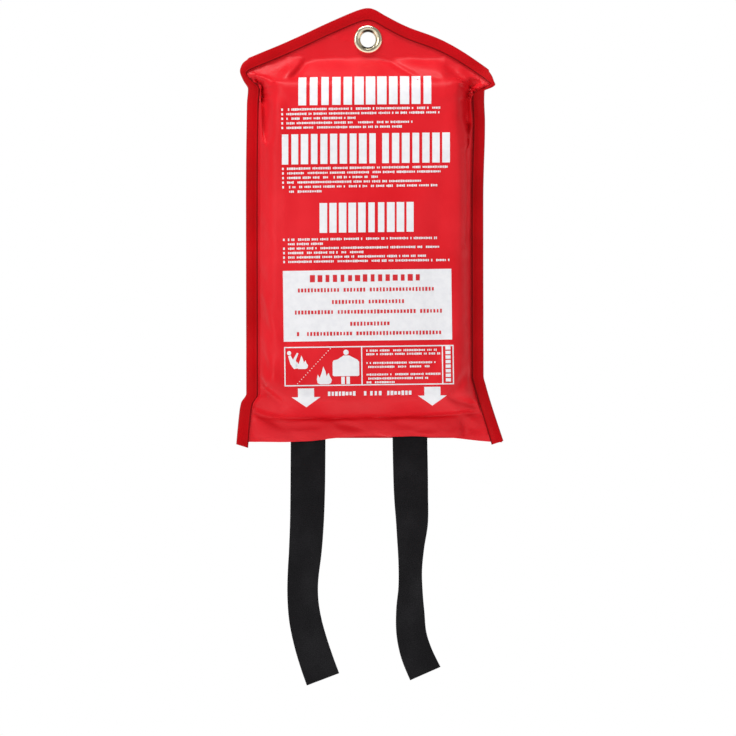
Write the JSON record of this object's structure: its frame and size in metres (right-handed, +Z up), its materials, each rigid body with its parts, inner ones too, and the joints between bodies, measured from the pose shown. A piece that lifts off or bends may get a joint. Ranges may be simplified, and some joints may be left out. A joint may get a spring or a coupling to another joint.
{
  "type": "fire blanket",
  "caption": "Wall-hung soft pouch with an eyelet, holding a folded fire blanket that hanging webbing straps pull out of its bottom mouth.",
  "frame": {"origin": "centre of the eyelet's hole, on the wall plane that the pouch's flat back lies on", "axes": "+Z up, -Y out of the wall towards the viewer, +X to the viewer's right"},
  "size_m": [0.1888, 0.0251, 0.4839],
  "materials": {
    "pouch_fabric": "satin",
    "binding_tape": "matte",
    "eyelet_brass": "satin",
    "glass_cloth": "matte",
    "webbing": "matte",
    "hook_tape": "matte",
    "loop_tape": "matte"
  },
  "bodies": {
    "pouch": {"back_panel": "pouch_fabric", "front_panel": "pouch_fabric", "left_side_binding": "binding_tape", "right_side_binding": "binding_tape", "top_binding": "binding_tape", "eyelet_barrel": "eyelet_brass", "eyelet_washer": "eyelet_brass", "loop_strip": "loop_tape"},
    "mouth_lip": {"front_mouth_lip": "pouch_fabric", "hook_strip": "hook_tape"},
    "blanket": {"folded_blanket": "glass_cloth", "left_strap_patch": "glass_cloth", "right_strap_patch": "glass_cloth", "left_strap_sewn_end": "webbing", "right_strap_sewn_end": "webbing"},
    "left_strap": {"left_pull_strap": "webbing"},
    "right_strap": {"right_pull_strap": "webbing"}
  },
  "joints": [
    {"name": "blanket_slide", "type": "slide", "parent": "pouch", "child": "blanket", "axis": [0, 0, -1], "range_m": [0, 0.27]},
    {"name": "mouth_lip_hinge", "type": "hinge", "parent": "pouch", "child": "mouth_lip", "pos_m": [0, -0.02485, -0.247], "axis": [-1, 0, 0], "range_deg": [0, 31], "deforming": ["front_mouth_lip", "hook_strip"]},
    {"name": "left_strap_swing", "type": "hinge", "parent": "blanket", "child": "left_strap", "pos_m": [-0.0428, -0.00165, -0.28805], "axis": [-1, 0, 0], "range_deg": [0, 105]},
    {"name": "right_strap_swing", "type": "hinge", "parent": "blanket", "child": "right_strap", "pos_m": [0.03, -0.00165, -0.28805], "axis": [-1, 0, 0], "range_deg": [0, 105]}
  ],
  "couplings": [
    {"joint": "mouth_lip_hinge", "follows": "blanket_slide", "rad_per_m": 2}
  ]
}
